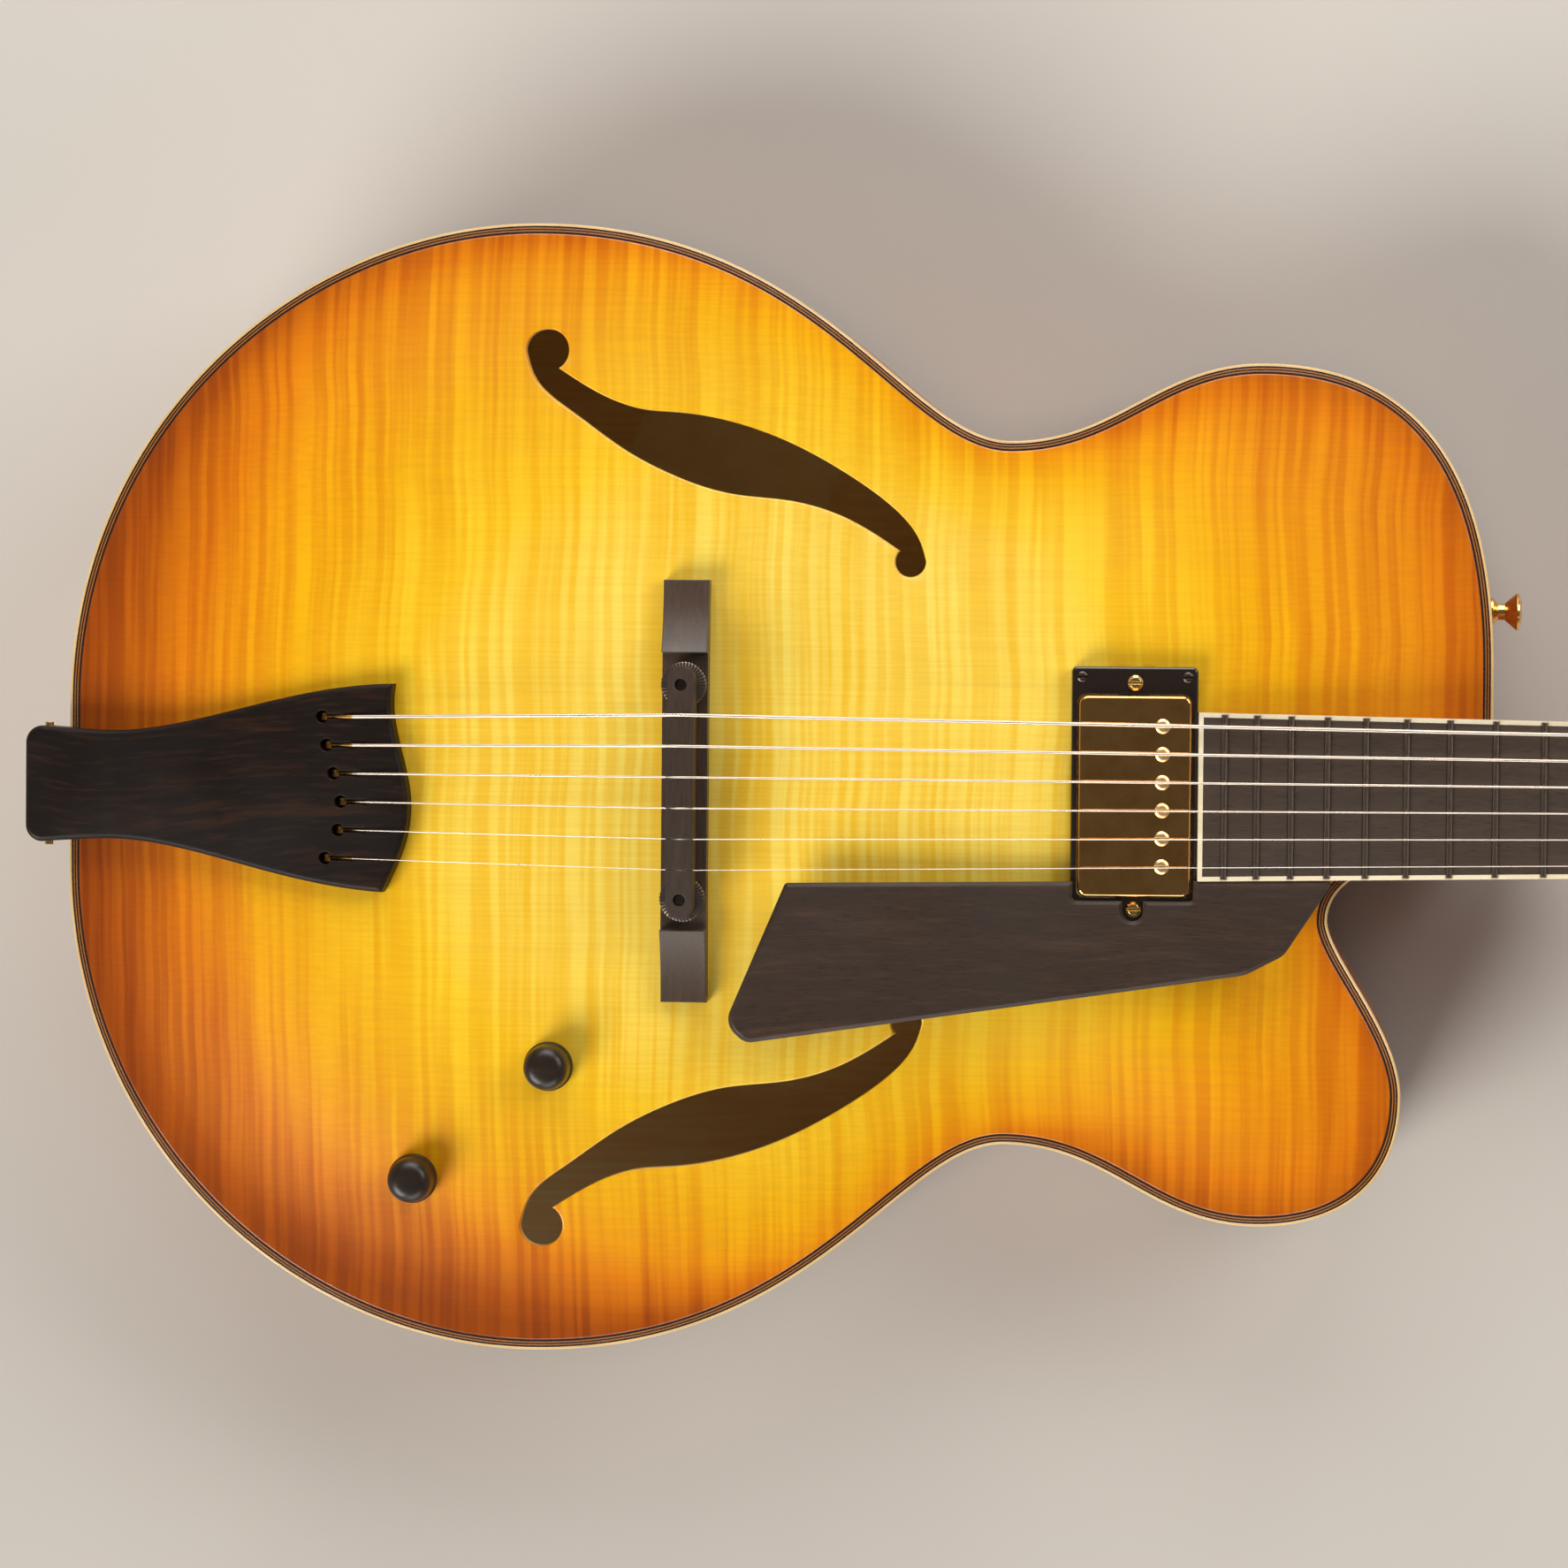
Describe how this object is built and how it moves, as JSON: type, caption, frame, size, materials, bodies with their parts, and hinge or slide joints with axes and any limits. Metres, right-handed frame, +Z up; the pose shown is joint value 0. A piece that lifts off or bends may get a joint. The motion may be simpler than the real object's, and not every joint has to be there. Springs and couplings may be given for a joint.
{
  "type": "archtop guitar",
  "caption": "Hollow-body electric archtop guitar with one rounded cutaway, f-holes, floating bridge, trapeze-style wooden tailpiece and a single neck pickup.",
  "frame": {"origin": "middle of the bounding box at its lowest level, under the crown of the back", "axes": "+X along the neck to the headstock, +Y to the bass-string side, +Z up out of the top"},
  "size_m": [1.0509, 0.4, 0.1402],
  "materials": {
    "maple_top": "gloss lacquer, sunburst over figured grain",
    "maple_body": "gloss lacquer, amber over figured grain",
    "inner_wood": "bare",
    "ivory_binding": "polished",
    "inlay": "polished lines",
    "ebony": "satin oiled",
    "gold": "polished gold plate",
    "black_plastic": "gloss",
    "dark_metal": "satin black",
    "steel": "polished",
    "string_wound": "wound",
    "bone": "polished bone",
    "paper": "matt",
    "coil": "matt"
  },
  "bodies": {
    "guitar": {"back_binding": "ivory_binding", "back_plate": "maple_body", "bass_rib": "maple_body", "bridge_base": "ebony", "bridge_posts": "dark_metal", "fingerboard": "ebony", "fingerboard_binding": "ivory_binding", "frets": "steel", "headstock_overlay": "ebony", "heel_cap": "ebony", "mounting_screws": "dark_metal", "neck": "maple_body", "neck_block": "inner_wood", "nut": "bone", "output_jack": "gold", "paper_label": "paper", "pickguard": "ebony", "pickguard_support": "ebony", "pickup_height_screws": "gold", "pickup_ring": "black_plastic", "pickup_springs": "steel", "plain_strings": "steel", "potentiometers": "steel", "rim_linings": "inner_wood", "strap_button": "gold", "tail_block": "inner_wood", "tailpiece": "ebony", "tailpiece_hanger": "dark_metal", "tailpiece_pin": "dark_metal", "tone_bars": "inner_wood", "top_binding": "ivory_binding", "top_plate": "maple_top", "top_purfling": "inlay", "treble_rib": "maple_body", "truss_rod": "steel", "truss_rod_cover": "ebony", "tuner_ferrules": "gold", "tuner_housings": "gold", "wound_strings": "string_wound"},
    "volume_knob": {"volume_knob": "ebony"},
    "tone_knob": {"tone_knob": "ebony"},
    "saddle": {"bridge_saddle": "ebony"},
    "bass_wheel": {"bass_thumbwheel": "dark_metal"},
    "treble_wheel": {"treble_thumbwheel": "dark_metal"},
    "pickup": {"pickup_cover": "gold", "pole_screws": "gold", "pickup_coils": "coil", "pickup_baseplate": "steel"},
    "post_1": {"tuner_post_1": "gold"},
    "button_1": {"tuner_button_1": "ebony"},
    "post_2": {"tuner_post_2": "gold"},
    "button_2": {"tuner_button_2": "ebony"},
    "post_3": {"tuner_post_3": "gold"},
    "button_3": {"tuner_button_3": "ebony"},
    "post_4": {"tuner_post_4": "gold"},
    "button_4": {"tuner_button_4": "ebony"},
    "post_5": {"tuner_post_5": "gold"},
    "button_5": {"tuner_button_5": "ebony"},
    "post_6": {"tuner_post_6": "gold"},
    "button_6": {"tuner_button_6": "ebony"}
  },
  "joints": [
    {"name": "volume_turn", "type": "hinge", "parent": "guitar", "child": "volume_knob", "pos_m": [-0.33628, -0.0975, 0.1127], "axis": [0, 0, 1], "range_deg": [-150, 150]},
    {"name": "tone_turn", "type": "hinge", "parent": "guitar", "child": "tone_knob", "pos_m": [-0.38528, -0.1385, 0.1049], "axis": [0, 0, 1], "range_deg": [-150, 150]},
    {"name": "saddle_lift", "type": "slide", "parent": "guitar", "child": "saddle", "axis": [0, 0, 1], "range_m": [-0.0014, 0]},
    {"name": "bass_wheel_turn", "type": "hinge", "parent": "saddle", "child": "bass_wheel", "pos_m": [-0.28828, 0.0374, 0.12483], "axis": [0, 0, 1], "range_deg": [-730, 10]},
    {"name": "treble_wheel_turn", "type": "hinge", "parent": "saddle", "child": "treble_wheel", "pos_m": [-0.28828, -0.0374, 0.12483], "axis": [0, 0, 1], "range_deg": [-730, 10]},
    {"name": "pickup_height", "type": "slide", "parent": "guitar", "child": "pickup", "axis": [0.0767, 0, 0.9971], "range_m": [-0.002, 0]},
    {"name": "button_1_turn", "type": "hinge", "parent": "guitar", "child": "button_1", "pos_m": [0.39143, 0.026, 0.04297], "axis": [0, 1, 0], "continuous": true},
    {"name": "post_1_turn", "type": "hinge", "parent": "guitar", "child": "post_1", "pos_m": [0.39741, 0.026, 0.06206], "axis": [0.299, 0, 0.9542], "continuous": true},
    {"name": "button_2_turn", "type": "hinge", "parent": "guitar", "child": "button_2", "pos_m": [0.43151, 0.026, 0.03041], "axis": [0, 1, 0], "continuous": true},
    {"name": "post_2_turn", "type": "hinge", "parent": "guitar", "child": "post_2", "pos_m": [0.43749, 0.026, 0.0495], "axis": [0.299, 0, 0.9542], "continuous": true},
    {"name": "button_3_turn", "type": "hinge", "parent": "guitar", "child": "button_3", "pos_m": [0.47158, 0.026, 0.01785], "axis": [0, 1, 0], "continuous": true},
    {"name": "post_3_turn", "type": "hinge", "parent": "guitar", "child": "post_3", "pos_m": [0.47757, 0.026, 0.03694], "axis": [0.299, 0, 0.9542], "continuous": true},
    {"name": "button_4_turn", "type": "hinge", "parent": "guitar", "child": "button_4", "pos_m": [0.47158, -0.026, 0.01785], "axis": [0, -1, 0], "continuous": true},
    {"name": "post_4_turn", "type": "hinge", "parent": "guitar", "child": "post_4", "pos_m": [0.47757, -0.026, 0.03694], "axis": [0.299, 0, 0.9542], "continuous": true},
    {"name": "button_5_turn", "type": "hinge", "parent": "guitar", "child": "button_5", "pos_m": [0.43151, -0.026, 0.03041], "axis": [0, -1, 0], "continuous": true},
    {"name": "post_5_turn", "type": "hinge", "parent": "guitar", "child": "post_5", "pos_m": [0.43749, -0.026, 0.0495], "axis": [0.299, 0, 0.9542], "continuous": true},
    {"name": "button_6_turn", "type": "hinge", "parent": "guitar", "child": "button_6", "pos_m": [0.39143, -0.026, 0.04297], "axis": [0, -1, 0], "continuous": true},
    {"name": "post_6_turn", "type": "hinge", "parent": "guitar", "child": "post_6", "pos_m": [0.39741, -0.026, 0.06206], "axis": [0.299, 0, 0.9542], "continuous": true}
  ],
  "couplings": [
    {"joint": "bass_wheel_turn", "follows": "saddle_lift", "rad_per_m": 8976},
    {"joint": "treble_wheel_turn", "follows": "saddle_lift", "rad_per_m": 8976},
    {"joint": "post_1_turn", "follows": "button_1_turn", "ratio": 0.0625},
    {"joint": "post_2_turn", "follows": "button_2_turn", "ratio": 0.0625},
    {"joint": "post_3_turn", "follows": "button_3_turn", "ratio": 0.0625},
    {"joint": "post_4_turn", "follows": "button_4_turn", "ratio": -0.0625},
    {"joint": "post_5_turn", "follows": "button_5_turn", "ratio": -0.0625},
    {"joint": "post_6_turn", "follows": "button_6_turn", "ratio": -0.0625}
  ]
}
